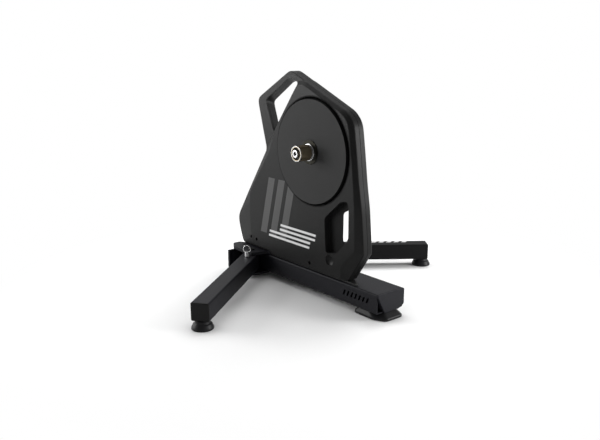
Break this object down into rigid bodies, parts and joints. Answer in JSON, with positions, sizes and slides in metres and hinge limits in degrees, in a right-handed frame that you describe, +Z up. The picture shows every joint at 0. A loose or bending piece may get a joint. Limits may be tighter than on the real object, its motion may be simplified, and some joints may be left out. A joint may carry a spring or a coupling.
{
  "type": "direct drive bike trainer",
  "caption": "Indoor bicycle trainer with a freehub and belt-driven flywheel in an upright casing, on a floor beam with two folding legs.",
  "frame": {"origin": "centre of the part's box at floor level", "axes": "+Z up; +X along the floor beam towards its front foot; the freehub faces -Y"},
  "size_m": [0.5206, 0.7204, 0.507],
  "materials": {
    "shell_black": "fine satin grain, near black",
    "disc_grey": "satin, faint turning marks",
    "paint_black": "satin powder coat",
    "cast_black": "powder-coated casting",
    "rubber_black": "matte",
    "dark_steel": "blackened",
    "bronze_steel": "bronze-brown, turned",
    "bright_steel": "bright, turned",
    "cast_aluminium": "as cast and machined",
    "flywheel_steel": "machined, oiled",
    "belt_rubber": "smooth back",
    "socket_black": "moulded",
    "board_green": "laminate",
    "copper_brown": "lacquered windings"
  },
  "bodies": {
    "frame": {"drive_shell": "shell_black", "far_shell": "shell_black", "drive_screw_1": "dark_steel", "drive_screw_2": "dark_steel", "mast_screw": "dark_steel", "far_screw_1": "dark_steel", "far_screw_2": "dark_steel", "backbone": "cast_black", "main_axle": "bright_steel", "end_cap_drive": "bright_steel", "end_cap_far": "bright_steel", "hub_bearing_outer": "bright_steel", "hub_bearing_inner": "bright_steel", "drive_belt": "belt_rubber", "shaft_bearing_near": "bright_steel", "shaft_bearing_far": "bright_steel", "flywheel_cover": "shell_black", "brake_core": "flywheel_steel", "brake_coil_1": "copper_brown", "brake_coil_2": "copper_brown", "circuit_board": "board_green", "power_socket": "socket_black", "beam": "paint_black", "beam_front_cap": "paint_black", "foot_pad": "rubber_black", "bracket_upper": "paint_black", "bracket_lower": "paint_black", "pivot_bolt_drive": "dark_steel", "pivot_nut_drive": "dark_steel", "pivot_bolt_far": "dark_steel", "pivot_nut_far": "dark_steel"},
    "hub": {"hub_core": "cast_aluminium", "drive_disc": "disc_grey", "belt_pulley": "cast_aluminium", "hub_collar": "dark_steel"},
    "freehub": {"freehub_ring": "bright_steel", "freehub_body": "bronze_steel", "freehub_bearing_outer": "bright_steel", "freehub_bearing_inner": "bright_steel"},
    "flywheel_group": {"flywheel_shaft": "bright_steel", "small_pulley": "cast_aluminium", "flywheel": "flywheel_steel", "flywheel_nut": "bright_steel"},
    "idler": {"idler_roller": "cast_aluminium"},
    "leg_drive": {"leg_tube_drive": "paint_black", "leg_cap_drive": "paint_black", "lock_barrel_drive": "bright_steel", "lock_spring_drive": "bright_steel"},
    "pin_drive": {"lock_plunger_drive": "bright_steel", "lock_ring_drive": "bright_steel"},
    "foot_drive": {"foot_stud_drive": "bright_steel", "foot_cup_drive": "rubber_black"},
    "leg_far": {"leg_tube_far": "paint_black", "leg_cap_far": "paint_black", "lock_barrel_far": "bright_steel", "lock_spring_far": "bright_steel"},
    "pin_far": {"lock_plunger_far": "bright_steel", "lock_ring_far": "bright_steel"},
    "foot_far": {"foot_stud_far": "bright_steel", "foot_cup_far": "rubber_black"}
  },
  "joints": [
    {"name": "flywheel_spin", "type": "hinge", "parent": "frame", "child": "flywheel_group", "pos_m": [-0.05675, 0, 0.19], "axis": [0, 1, 0], "continuous": true},
    {"name": "hub_spin", "type": "hinge", "parent": "frame", "child": "hub", "pos_m": [0.03825, 0, 0.335], "axis": [0, 1, 0], "continuous": true},
    {"name": "freehub_spin", "type": "hinge", "parent": "frame", "child": "freehub", "pos_m": [0.03825, 0, 0.335], "axis": [0, 1, 0], "continuous": true},
    {"name": "idler_spin", "type": "hinge", "parent": "frame", "child": "idler", "pos_m": [-0.08361, 0, 0.24725], "axis": [0, 1, 0], "continuous": true},
    {"name": "leg_fold_drive", "type": "hinge", "parent": "frame", "child": "leg_drive", "pos_m": [-0.16925, -0.062, 0.04], "axis": [0, 0, 1], "range_deg": [0, 52.6]},
    {"name": "leg_fold_far", "type": "hinge", "parent": "frame", "child": "leg_far", "pos_m": [-0.16925, 0.062, 0.04], "axis": [0, 0, -1], "range_deg": [0, 52.6]},
    {"name": "lock_pin_drive", "type": "slide", "parent": "leg_drive", "child": "pin_drive", "axis": [0, 0, 1], "range_m": [0, 0.008], "stiffness_N_per_m": 500, "springref_m": -0.01, "deforming": ["lock_spring_drive"]},
    {"name": "lock_pin_far", "type": "slide", "parent": "leg_far", "child": "pin_far", "axis": [0, 0, 1], "range_m": [0, 0.008], "stiffness_N_per_m": 500, "springref_m": -0.01, "deforming": ["lock_spring_far"]},
    {"name": "foot_level_drive", "type": "slide", "parent": "leg_drive", "child": "foot_drive", "axis": [0, 0, -1], "range_m": [0, 0.012]},
    {"name": "foot_level_far", "type": "slide", "parent": "leg_far", "child": "foot_far", "axis": [0, 0, -1], "range_m": [0, 0.012]}
  ],
  "couplings": [
    {"joint": "hub_spin", "follows": "flywheel_spin", "ratio": 0.14611},
    {"joint": "idler_spin", "follows": "flywheel_spin", "ratio": -1.1493}
  ]
}
